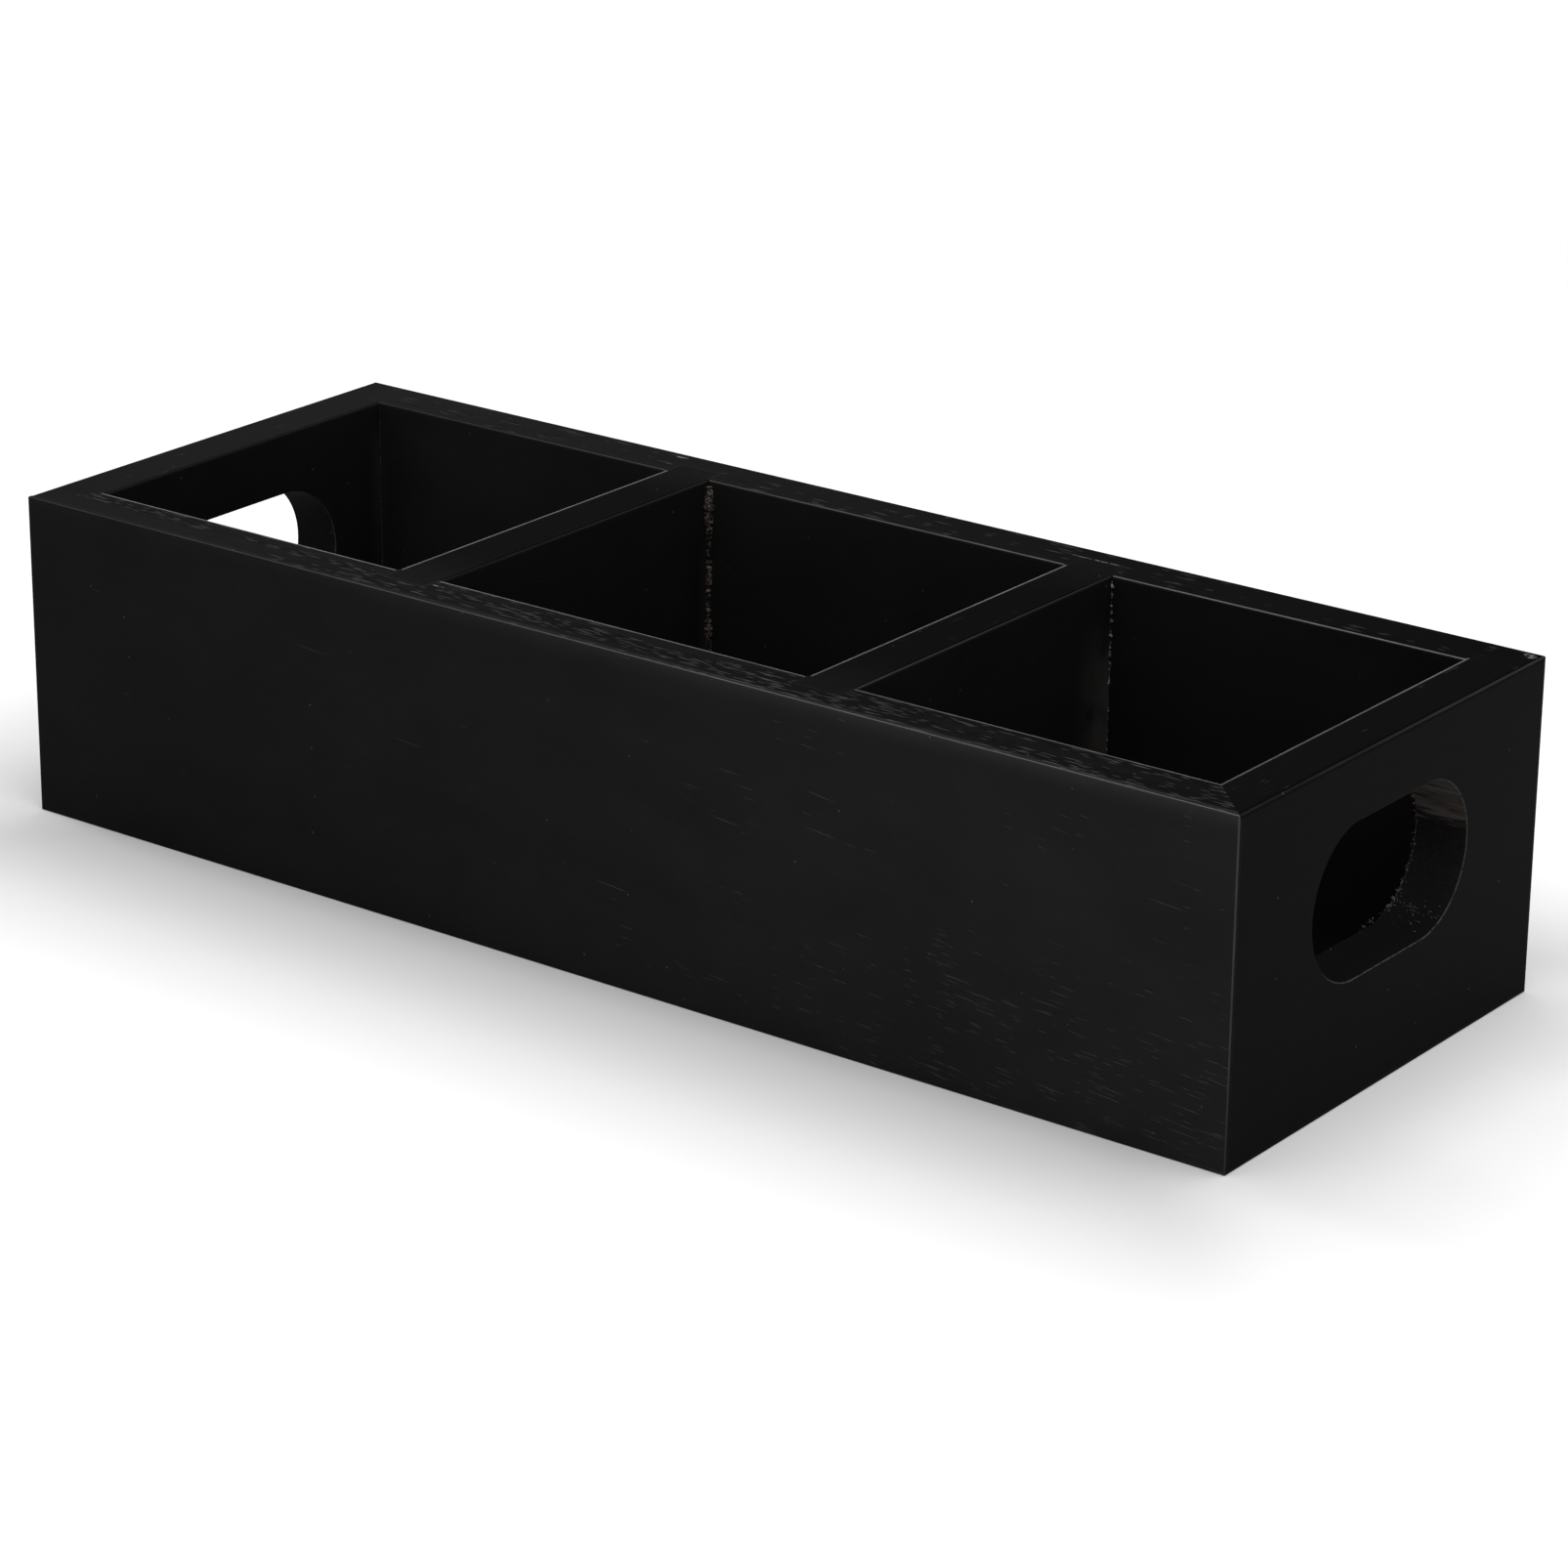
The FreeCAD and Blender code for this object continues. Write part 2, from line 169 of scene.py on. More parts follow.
# Heights in millimetres. Figure and open grain have one for the faces and one for the rim.
FIGURE_HEIGHTS = (0.003, 0.02)
GRAIN_HEIGHTS = (-0.03, -0.12)
PEEL_HEIGHT = 0.003
SPECK_HEIGHT = 0.08
CHIP_HEIGHT = -0.25

# Upward part of the normal where a surface begins to count as rim, and where it wholly does.
RIM_FACING = (0.75, 0.95)

# Shift of the grain from one board to the next, in millimetres, times the board's seed.
BOARD_SHIFT = (173.1, 91.7, 37.3)

# Pores on the faces: shift, length and width of their cells in millimetres.
FACE_PORES = (((0, 0, 0), 30, 0.6), ((3, 11, 2), 17, 0.5), ((7, 3, 5), 9, 0.5))

# Specks of dust: spacing and largest radius in millimetres.
DUST_SPACING = 12
DUST_RADIUS = 0.24

# Dents and opened seams on the rims: centre and half sizes in millimetres.
CHIPS = {
    "front_panel": [((-51.5, -54.2, 82), (3.2, 0.30, 0.6))],
    "back_panel": [
        ((-69.7, 61.0, 82), (2.2, 0.60, 0.9)),
        ((57.5, 57.5, 82), (9.0, 0.26, 0.6)),
        ((172.0, 61.6, 82), (1.3, 1.2, 1.2)),
    ],
    "right_end_panel": [((173.0, 61.0, 82), (1.1, 1.3, 1.2))],
}

# Films of wiped glue beside inner corners: the corner (x, y), the reach along x and y, the heights where
# the film begins, is full, starts to fade and ends, and its colour.
SMUDGES = {
    "left_end_panel": [((-INNER_X, INNER_Y), (4, 5.0), (6, 20, 66, 80), SMUDGE_GREY)],
    "back_panel": [((-INNER_X, INNER_Y), (3.5, 4), (6, 20, 66, 80), SMUDGE_GREY)],
    "left_divider": [((-DIVIDER_PLACE + DIVIDER / 2, INNER_Y), (4, 5), (2, 10, 50, 80), SMUDGE_GREY)],
    "right_divider": [((DIVIDER_PLACE + DIVIDER / 2, INNER_Y), (4, 16), (1, 8, 46, 78), SMUDGE_BROWN)],
}

# Beads of dried glue, in millimetres: their rings, the gap under the rim, and the spans over which they
# swell and thin. Then the size and lumpiness of a bead at a divider, in a corner, and of the odd ones.
GLUE_SIDES = 8
GLUE_STEP = 0.35
GLUE_RADIUS = 0.34
GLUE_TOP_GAP = 1.2
GLUE_LUMP_SPAN = 0.75
GLUE_SLOW_SPAN = 9
GLUE_ROUGH_SPAN = 0.5
GLUE_AT_DIVIDER = (0.7, 1.1)
GLUE_AT_CORNER = (0.28, 0.6)
GLUE_SIZES = {
    ("left_divider", "back", "right"): (5.0, 0.20),
    ("right_divider", "back", "right"): (1.15, 1.9),
}

# Torn fibres in the hand slots. A cluster is its count, angle, spread of angle, depth and spread of
# depth, in degrees and millimetres.
FIBRE_SIDES = 3
FIBRE_STEPS = 5
FIBRE_TAPER = 0.85
FIBRE_ROOT = 0.05
FIBRE_LENGTHS = (0.25, 0.9)
FIBRE_WIDTHS = (0.07, 0.17)
LEFT_FIBRES = [(50, -40, 30, 0, 1.5)]
RIGHT_FIBRES = [(75, -58, 12, 0, 0.7), (60, -15, 35, 0, 0.5), (45, -62, 6, 7, 3)]


class Graph:
    """Short calls that add nodes to a node tree. Where a value goes in, a socket may too."""

    def __init__(self, tree):
        tree.nodes.clear()
        self.tree = tree

    def add(self, kind, values=None, **settings):
        node = self.tree.nodes.new(f"ShaderNode{kind}")
        for name, setting in settings.items():
            setattr(node, name, setting)
        for key, value in (values or {}).items():
            self.join(value, node.inputs[key])
        return node

    def join(self, value, socket):
        if isinstance(value, bpy.types.NodeSocket):
            self.tree.links.new(value, socket)
        else:
            socket.default_value = value

    def math(self, operation, a, b=0.0):
        return self.add("Math", {0: a, 1: b}, operation=operation).outputs[0]

    def chain(self, operation, values):
        """One operation over all the values in turn."""
        result = values[0]
        for value in values[1:]:
            result = self.math(operation, result, value)
        return result

    def product(self, *values):
        return self.chain("MULTIPLY", values)

    def total(self, *values):
        return self.chain("ADD", values)

    def highest(self, *values):
        return self.chain("MAXIMUM", values)

    def gap(self, a, b):
        """Distance between two values."""
        return self.math("ABSOLUTE", self.math("SUBTRACT", a, b))

    def ramp(self, value, start, end):
        """Smooth step from 0 at start to 1 at end, either of which may be the larger."""
        ends = {"Value": value, "From Min": start, "From Max": end}
        return self.add("MapRange", ends, interpolation_type="SMOOTHSTEP").outputs["Result"]

    def between(self, factor, a, b):
        return self.add("Mix", {0: factor, 2: a, 3: b}, data_type="FLOAT").outputs[0]

    def tint(self, factor, a, b):
        return self.add("Mix", {0: factor, 6: a, 7: b}, data_type="RGBA").outputs[2]

    def shaded(self, colour, share):
        return self.add("VectorMath", {0: colour, "Scale": share}, operation="SCALE").outputs[0]

    def vector(self, x, y, z):
        return self.add("CombineXYZ", {0: x, 1: y, 2: z}).outputs[0]

    def parts(self, vector):
        return self.add("SeparateXYZ", {0: vector}).outputs[:3]

    def length(self, vector):
        return self.add("VectorMath", {0: vector}, operation="LENGTH").outputs["Value"]

    def scaled(self, vector, x, y, z):
        return self.add("VectorMath", {0: vector, 1: (x, y, z)}, operation="MULTIPLY").outputs[0]

    def moved(self, vector, x, y, z):
        return self.add("VectorMath", {0: vector, 1: (x, y, z)}, operation="ADD").outputs[0]

    def noise(self, place, size, detail=2.0, roughness=0.5):
        """Noise from 0 to 1 whose features are about size across, in the place's own units."""
        values = {"Vector": place, "Scale": 1 / size, "Detail": detail, "Roughness": roughness}
        return self.add("TexNoise", values).outputs[0]

    def ruffled(self, place, size, x, y, z):
        """Place pushed about by noise of a size, by up to about half of x, y and z."""
        push = self.add("TexNoise", {"Vector": place, "Scale": 1 / size, "Detail": 2.0}).outputs["Color"]
        push = self.scaled(self.moved(push, -0.5, -0.5, -0.5), x, y, z)
        return self.add("VectorMath", {0: place, 1: push}, operation="ADD").outputs[0]

    def cells(self, place, dimensions="3D"):
        """Distance to the nearest of scattered points, one to a unit cell, and its own random number."""
        node = self.add("TexVoronoi", {"Vector": place, "Scale": 1}, voronoi_dimensions=dimensions)
        return node.outputs["Distance"], self.parts(node.outputs["Color"])[0]


def new_material(name):
    material = bpy.data.materials.new(name)
    material.use_nodes = True
    return material, Graph(material.node_tree)


def place_in_mm(graph):
    """The frame's coordinates at the shaded point, in millimetres."""
    place = graph.add("TexCoord").outputs["Object"]
    return graph.scaled(place, 1 / MM, 1 / MM, 1 / MM)


def surface_normal(graph):
    return graph.parts(graph.add("NewGeometry").outputs["Normal"])


def finish_surface(graph, colour, roughness, height, specular, metallic=0.0):
    """Principled shader with a height in millimetres as its bump."""
    bump = graph.add("Bump", {"Strength": 1.0, "Distance": MM, "Height": height}).outputs[0]
    values = {
        "Base Color": colour,
        "Roughness": roughness,
        "Normal": bump,
        "Metallic": metallic,
        "Specular IOR Level": specular,
    }
    shader = graph.add("BsdfPrincipled", values)
    graph.add("OutputMaterial", {"Surface": shader.outputs[0]})


def along_and_across(run_axis, x, y):
    """The coordinates along and across a board that runs along an axis."""
    return (x, y) if run_axis == "X" else (y, x)


def grain_space(graph, place, run_axis, slope, seed):
    """Place as (along the grain, up, across) in millimetres, with the grain's slope and slow waves."""
    x, y, z = graph.parts(graph.moved(place, *(shift * seed for shift in BOARD_SHIFT)))
    run, deep = along_and_across(run_axis, x, y)
    waves = graph.noise(graph.vector(graph.math("DIVIDE", run, 4), z, deep), 16, detail=1)
    rise = graph.total(z, graph.product(run, slope), waves)
    return graph.vector(run, rise, deep)


def pore_dashes(graph, grain, length, width, density, dimensions="3D"):
    """Short thin dashes along the grain, present in a share of their cells."""
    distance, lot = graph.cells(graph.scaled(grain, 1 / length, 1 / width, 1 / width), dimensions)
    present = graph.ramp(graph.math("SUBTRACT", density, lot), 0.0, 0.15)
    return graph.product(graph.ramp(distance, 0.20, 0.08), present)


def front_density(graph, place):
    """Pores on the front wall's face: few at the left, many low down at the right."""
    x, _, z = graph.parts(place)
    corner = graph.product(graph.ramp(x, -10, 150), graph.ramp(z, 52, 6))
    patches = graph.ramp(graph.noise(graph.scaled(place, 0.4, 1, 1), 14), 0.45, 0.7)
    patches = graph.product(patches, graph.between(graph.ramp(x, -60, 60), 0.08, 0.34))
    return graph.total(0.02, graph.product(corner, 0.72), patches)


def even_density(level):
    """Pores spread in patches over the whole face."""

    def density(graph, place):
        patches = graph.ramp(graph.noise(place, 30), 0.42, 0.68)
        return graph.product(patches, level)

    return density


# For each board: the axis that it runs along, the seed and slope of its grain, how dense its pores are,
# how torn its rim is, and the painted light and shade of its outer face, inner face and rim, each at the
# start and the end of the board (of a divider, halfway along and at both ends). Then the painted highlight
# and wear
# on its two rim edges: the share at the start and the end of the board, and the width of the line there.
BOARDS = {
    "front_panel": {
        "run": "X", "seed": 1, "slope": 0.085, "pores": front_density, "torn_rim": 1.0,
        "painted_tones": ((1.15, 1.95), (1.0, 1.0), (0.78, 0.56)),
        "low_wear_and_highlight": (0.14, 0.80, 0.36, 0.30), "high_wear_and_highlight": (0.80, 0.48, 1.05, 1.05),
    },
    "back_panel": {
        "run": "X", "seed": 2, "slope": -0.03, "pores": even_density(0.05), "torn_rim": 0.24,
        "painted_tones": ((1.3, 1.3), (1.9, 1.15), (1.00, 0.28)),
        "low_wear_and_highlight": (0.08, 0.75, 0.36, 0.36), "high_wear_and_highlight": (0.15, 0.20, 0.60, 0.60),
    },
    "left_end_panel": {
        "run": "Y", "seed": 3, "slope": 0.02, "pores": even_density(0.04), "torn_rim": 0.10,
        "painted_tones": ((0.6, 0.6), (0.85, 1.0), (0.70, 0.90)),
        "low_wear_and_highlight": (0.12, 0.08, 0.80, 0.80), "high_wear_and_highlight": (0.02, 0.02, 0.50, 0.50),
    },
    "right_end_panel": {
        "run": "Y", "seed": 4, "slope": -0.02, "pores": even_density(0.06), "torn_rim": 0.10,
        "painted_tones": ((0.40, 0.38), (1.0, 1.0), (0.31, 0.31)),
        "low_wear_and_highlight": (0.40, 0.60, 1.00, 1.00), "high_wear_and_highlight": (0.05, 0.13, 0.62, 0.62),
    },
    "left_divider": {
        "run": "Y", "seed": 5, "slope": 0.01, "pores": even_density(0.08), "torn_rim": 0.05,
        "painted_tones": ((1.0, 1.0), (1.0, 1.0), (0.06, 0.60)),
        "low_wear_and_highlight": (0.85, 0.85, 1.00, 1.00), "high_wear_and_highlight": (0.02, 0.05, 0.40, 0.40),
    },
    "right_divider": {
        "run": "Y", "seed": 6, "slope": -0.01, "pores": even_density(0.08), "torn_rim": 0.05,
        "painted_tones": ((1.0, 1.0), (1.0, 1.0), (0.12, 0.50)),
        "low_wear_and_highlight": (0.60, 0.75, 1.00, 1.00), "high_wear_and_highlight": (0.14, 0.06, 0.40, 0.40),
    },
}


def painted_board_light(graph, place, node, run, on_rim, painted_tones):
    """Painted light and shade: tone of the outer face, the inner face or the rim at a point, with painted
    gradients along the board, mottled.
    """
    x, y, z = graph.parts(place)
    if run == "X":
        along, out, reach = graph.ramp(x, -HALF_LENGTH, HALF_LENGTH), y, HALF_WIDTH
    else:
        along, out, reach = graph.ramp(y, -HALF_WIDTH, HALF_WIDTH), x, HALF_LENGTH
    if "divider" in node:
        along = graph.ramp(graph.math("ABSOLUTE", y), 28, 58)
    outer_painted_tone, inner_painted_tone, rim_painted_tone = (graph.between(along, *ends) for ends in painted_tones)
    # Painted shade: the right end's outer face grows darker towards the top.
    if node == "right_end_panel":
        outer_painted_tone = graph.product(outer_painted_tone, graph.between(graph.ramp(z, 5, 80), 1.10, 0.84))
    outside = graph.ramp(graph.math("ABSOLUTE", out), reach - 3, reach - 1)
    face_painted_tone = graph.between(outside, inner_painted_tone, outer_painted_tone)
    mottle = graph.between(graph.noise(graph.scaled(place, 0.7, 0.7, 1), 10, detail=4), 0.86, 1.14)
    return graph.product(graph.between(on_rim, face_painted_tone, rim_painted_tone), mottle)


def open_pores(graph, place, grain, on_rim, density):
    """Mask of the thin pores on a board's faces, in three lengths."""
    face_grain = graph.ruffled(grain, 4, 3, 0.35, 0.35)
    share = graph.product(density(graph, place), graph.math("SUBTRACT", 1.0, on_rim))
    dashes = [
        pore_dashes(graph, graph.moved(face_grain, *shift), length, width, share)
        for shift, length, width in FACE_PORES
    ]
    return graph.highest(*dashes)


def torn_rim_grain(graph, place, node, run, seed, on_rim, torn_rim):
    """Masks of a rim's torn dashes, which are painted pale as highlight, and of the gaps beside them,
    painted dark as shadow, and the share of the rim that is torn.
    """
    x, y, _ = graph.parts(place)
    along, across = along_and_across(run, x, y)
    sway = graph.noise(graph.vector(graph.math("DIVIDE", along, 3), across, seed), 14, detail=1)
    rows = graph.vector(along, graph.total(across, graph.product(sway, 2.0)), 0.0)
    clusters = graph.ramp(graph.noise(graph.scaled(rows, 0.05, 1, 1), 4.2, detail=1), 0.36, 0.52)
    if node == "front_panel":
        by_inner_edge = graph.between(graph.ramp(x, -110, -70), graph.ramp(y, -58, -55), 1.0)
        clusters = graph.product(clusters, by_inner_edge, graph.between(graph.ramp(x, 0, 160), 1.0, 0.75))
    share = graph.product(on_rim, clusters, torn_rim)

    def dashes(shift_along, shift_across, length, width):
        shifted = graph.moved(rows, shift_along, shift_across, 0)
        return pore_dashes(graph, shifted, length, width, share, "2D")

    long_tears = dashes(11 * seed, 5, length=17, width=0.95)
    short_tears = dashes(7 * seed, 3, length=8, width=0.75)
    torn = graph.product(graph.highest(long_tears, short_tears), on_rim)
    gaps = graph.product(dashes(3, 2 * seed, length=15, width=1.1), on_rim)
    return torn, gaps, share


def edge_distance(graph, place, node):
    """Distance in millimetres to the nearest long edge of the node's box: the middle one of three."""
    low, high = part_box(node)
    gaps = []
    for value, start, end in zip(graph.parts(place), low, high):
        from_start = graph.math("SUBTRACT", value, start / MM)
        from_end = graph.math("SUBTRACT", end / MM, value)
        gaps.append(graph.math("MINIMUM", from_start, from_end))
    a, b, c = gaps
    smaller, larger = graph.math("MINIMUM", a, b), graph.math("MAXIMUM", a, b)
    return graph.math("MAXIMUM", smaller, graph.math("MINIMUM", larger, c))


def edge_wear_and_highlight(graph, place, edge_gap, node, run, low_wear_and_highlight, high_wear_and_highlight):
    """Share of painted highlight and wear at a point: a fine pale line along both edges of the rim, and a
    faint one up the corners.
    """
    x, y, z = graph.parts(place)
    along, across = along_and_across(run, x, y)
    run_index, across_index = along_and_across(run, 0, 1)
    low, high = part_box(node)
    below_top = graph.math("SUBTRACT", TOP, z)
    share_along = graph.ramp(along, low[run_index] / MM, high[run_index] / MM)
    inside = graph.ramp(graph.math("ABSOLUTE", y), INNER_Y, INNER_Y - 0.8)
    lines = []
    for edge, (start, end, *widths) in ((low, low_wear_and_highlight), (high, high_wear_and_highlight)):
        from_edge = graph.gap(across, edge[across_index] / MM)
        width = graph.between(share_along, *widths)
        reached = graph.math("DIVIDE", graph.math("MAXIMUM", from_edge, below_top), width)
        line = graph.ramp(reached, 1.2, 0.7)
        line = graph.product(line, graph.between(share_along, start, end))
        lines.append(graph.product(line, inside) if "divider" in node else line)
    if "divider" not in node:
        corner = graph.product(graph.ramp(edge_gap, 0.27, 0.15), graph.ramp(z, -60, 82))
        lines.append(graph.product(corner, graph.ramp(x, -160, 160), CORNER_SHARE))
    uneven = graph.between(graph.noise(place, 7, detail=4), 0.55, 1.4)
    return graph.product(graph.highest(*lines), uneven)


def painted_sheen_band(graph, place):
    """Share of painted sheen just under the top of the front face, more to the right."""
    x, y, z = graph.parts(place)
    outside = graph.ramp(y, 2 - HALF_WIDTH, 1 - HALF_WIDTH)
    depth = graph.ramp(z, TOP - 6.5, TOP + 1)
    share = graph.between(graph.ramp(x, -150, 110), 0.010, 0.075)
    return graph.product(outside, depth, depth, share)


def chips(graph, place, node):
    """1 inside the ragged outlines of the node's dents, 0 elsewhere."""
    marks = [0.0]
    ragged = graph.ruffled(place, 0.9, 1.6, 0.5, 0.5)
    for centre, half in CHIPS.get(node, []):
        offset = graph.scaled(graph.moved(ragged, *(-c for c in centre)), *(1 / h for h in half))
        marks.append(graph.ramp(graph.length(offset), 1.0, 0.7))
    broken = graph.ramp(graph.noise(graph.moved(place, 5, 8, 2), 1.1, detail=2), 0.40, 0.56)
    return graph.product(graph.highest(*marks), broken)


def dust(graph, place, run, seed):
    """Tiny specks of different sizes, far apart on faces and rims alike."""
    x, y, z = graph.parts(place)
    along, across = along_and_across(run, x, y)
    flat = graph.vector(along, graph.total(across, z), 0.0)
    spread = graph.scaled(flat, 1 / DUST_SPACING, 1 / DUST_SPACING, 1 / DUST_SPACING)
    distance, lot = graph.cells(graph.moved(spread, seed, seed, 0), "2D")
    size = graph.product(graph.ramp(lot, 0.42, 0.0), DUST_RADIUS / DUST_SPACING)
    return graph.math("LESS_THAN", distance, size)


def lacquered_board(node, run, seed, slope, pores, torn_rim, painted_tones, low_wear_and_highlight, high_wear_and_highlight):
    """Black satin lacquer on one board: painted light and shade, pores, grain on the rim, edges painted pale
    as highlight and wear, dust, and bare slot walls.
    """
    material, graph = new_material(f"{node}_lacquer")
    place = place_in_mm(graph)
    grain = grain_space(graph, place, run, slope, seed)
    normal = surface_normal(graph)
    on_rim = graph.ramp(normal[2], *RIM_FACING)

    # Slow changes of tone, fine figure that runs along the board, and the lacquer's own fine waves.
    tone = graph.noise(graph.scaled(grain, 1 / 3, 1, 1), 16, detail=4, roughness=0.6)
    figure = graph.noise(graph.scaled(grain, 1 / 30, 1, 1), 0.7, detail=3, roughness=0.6)
    peel = graph.noise(place, 1.4, detail=1)
    colour = graph.tint(graph.ramp(tone, 0.3, 0.7), LACQUER_DEEP, LACQUER_PALE)
    # Painted light and shade: the outer face, the inner face and the rim each get their own tone.
    colour = graph.shaded(colour, painted_board_light(graph, place, node, run, on_rim, painted_tones))

    # Open grain: long thin pores on the faces and torn dashes on the rim, painted pale as highlight, with
    # the gaps beside the dashes painted dark as shadow and the torn part of the rim darker.
    face_pores = open_pores(graph, place, grain, on_rim, pores)
    torn, gaps, torn_share = torn_rim_grain(graph, place, node, run, seed, on_rim, torn_rim)
    open_grain = graph.highest(face_pores, gaps)
    dark_share = graph.highest(graph.product(torn_share, TORN_SHARE), graph.product(gaps, GAP_SHARE))
    colour = graph.tint(graph.product(face_pores, PORE_SHARE), colour, PORE_HIGHLIGHT_GREY)
    colour = graph.tint(dark_share, colour, GAP_SHADOW_BLACK)
    colour = graph.tint(graph.product(torn, graph.between(tone, 0.1, 0.75)), colour, TORN_HIGHLIGHT_GREY)

    # Edges painted pale as highlight and wear, dents, and dust.
    edge_gap = edge_distance(graph, place, node)
    wear_and_highlight = edge_wear_and_highlight(graph, place, edge_gap, node, run, low_wear_and_highlight, high_wear_and_highlight)
    # Painted highlight: a pale sheen band just under the front's top edge.
    if node == "front_panel":
        wear_and_highlight = graph.highest(wear_and_highlight, painted_sheen_band(graph, place))
    chipped = chips(graph, place, node)
    specks = dust(graph, place, run, seed)
    colour = graph.tint(graph.highest(wear_and_highlight, graph.product(chipped, CHIP_SHARE)), colour, WEAR_AND_HIGHLIGHT_GREY)
    colour = graph.tint(graph.product(specks, DUST_SHARE), colour, DUST_GREY)

    # Smoother where hands polish the edges, rougher in open grain.
    polish = graph.ramp(edge_gap, 1.2, 0.6)
    roughness = graph.total(LACQUER_ROUGHNESS, graph.product(figure, 0.10), graph.product(tone, 0.08))
    roughness = graph.between(polish, roughness, POLISHED_ROUGHNESS)
    roughness = graph.between(open_grain, roughness, GRAIN_ROUGHNESS)
    height = graph.total(
        graph.product(figure, graph.between(on_rim, *FIGURE_HEIGHTS)),
        graph.product(peel, PEEL_HEIGHT),
        graph.product(open_grain, graph.between(on_rim, *GRAIN_HEIGHTS)),
        graph.product(specks, SPECK_HEIGHT),
        graph.product(chipped, CHIP_HEIGHT),
    )

    if "end_panel" in node:
        colour, roughness, height = bare_slot_wall(graph, place, normal[0], colour, roughness, height)
    for smudge in SMUDGES.get(node, []):
        colour = glue_smudge(graph, place, colour, *smudge)
    finish_surface(graph, colour, roughness, height, LACQUER_SPECULAR)
    return material


def slot_distance(graph, place):
    """Distance in millimetres to the outline of the hand slot, below zero inside it."""
    _, y, z = graph.parts(place)
    past = graph.math("SUBTRACT", graph.math("ABSOLUTE", y), SLOT_REACH)
    across = graph.math("MAXIMUM", past, 0.0)
    up = graph.math("SUBTRACT", z, SLOT_MIDDLE)
    squares = graph.total(graph.product(across, across), graph.product(up, up))
    return graph.math("SUBTRACT", graph.math("SQRT", squares), SLOT_RADIUS)


def bare_slot_wall(graph, place, normal_x, colour, roughness, height):
    """Rough cut wall of a hand slot, where the lacquer covers the wood only in part, and its ragged edge."""
    outline = slot_distance(graph, place)
    ragged = graph.noise(place, 0.8, detail=3, roughness=0.7)
    x, y, z = graph.parts(place)
    facing_out = graph.math("ABSOLUTE", normal_x)
    cut = graph.product(graph.ramp(facing_out, 0.6, 0.4), graph.ramp(outline, 1.2, 0.8))

    # Cutter marks that run through the thickness of the board, bare wood high up at the back.
    marks = graph.noise(graph.scaled(place, 0.09, 1, 1), 1.3, detail=4, roughness=0.65)
    high_back = graph.product(graph.ramp(z, 46, 55), graph.ramp(y, 6, 16), graph.ramp(x, -1, 1))
    missed = graph.ramp(graph.total(marks, graph.product(high_back, 0.38)), 0.68, 0.84)
    bare_tone = graph.tint(graph.ramp(marks, 0.30, 0.75), BARE_DARK, BARE_PALE)
    pitted = graph.tint(graph.ramp(ragged, 0.35, 0.75), CUT_DEEP, CUT_PALE)
    pitted = graph.tint(graph.ramp(z, 42, 28), pitted, CUT_LOW)
    colour = graph.tint(cut, colour, graph.tint(missed, pitted, bare_tone))

    # A fine pale line of crumbled lacquer round the cut, at both faces of the board.
    depth = graph.math("SUBTRACT", HALF_LENGTH, graph.math("ABSOLUTE", x))
    to_face = graph.math("MINIMUM", graph.math("ABSOLUTE", depth), graph.gap(WALL, depth))
    by_outline = graph.ramp(graph.math("ABSOLUTE", outline), 0.34, 0.14)
    crumbs = graph.product(by_outline, graph.ramp(to_face, 0.45, 0.20), graph.ramp(ragged, 0.30, 0.52))
    colour = graph.tint(graph.product(crumbs, CRUMB_SHARE), colour, WEAR_AND_HIGHLIGHT_GREY)

    roughness = graph.between(cut, roughness, CUT_ROUGHNESS)
    rough_wall = graph.total(graph.product(marks, 0.22), graph.product(ragged, 0.04))
    height = graph.total(height, graph.product(cut, rough_wall), graph.product(crumbs, ragged, 0.1))
    return colour, roughness, height


def glue_smudge(graph, place, colour, corner, reach, heights, film_colour):
    """Dull film of wiped glue that thins out away from an inner corner."""
    x, y, z = graph.parts(place)
    near = graph.product(
        graph.ramp(graph.gap(x, corner[0]), reach[0], 0),
        graph.ramp(graph.gap(y, corner[1]), reach[1], 0),
    )
    start, full, fading, end = heights
    upright = graph.product(graph.ramp(z, start, full), graph.ramp(z, end, fading))
    cloud = graph.ramp(graph.noise(place, 11, detail=3), 0.15, 0.62)
    return graph.tint(graph.product(near, upright, cloud), colour, film_colour)


def stained_base():
    """Thin matt stain on the base, which shows the grain of its veneer underneath, with painted shade on its
    upper face inside the box.
    """
    material, graph = new_material("base_stain")
    grain = grain_space(graph, place_in_mm(graph), "X", 0.01, 7)
    figure = graph.noise(graph.scaled(grain, 1 / 24, 1, 1), 1.8, detail=5, roughness=0.62)
    pores = pore_dashes(graph, grain, 9, 0.7, 0.5)
    facing_up = graph.ramp(surface_normal(graph)[2], -0.5, 0.5)
    colour = graph.tint(graph.ramp(figure, 0.3, 0.72), STAIN_DEEP, STAIN_PALE)
    colour = graph.tint(graph.product(pores, 0.7), colour, STAIN_DEEP)
    # Painted shade: the upper face of the base, inside the box, is darker.
    colour = graph.tint(graph.product(facing_up, 0.9), colour, PAINTED_SHADE_INSIDE)
    roughness = graph.total(0.60, graph.product(figure, 0.18))
    height = graph.total(graph.product(figure, 0.05), graph.product(pores, -0.05))
    finish_surface(graph, colour, roughness, height, MATT_SPECULAR)
    return material


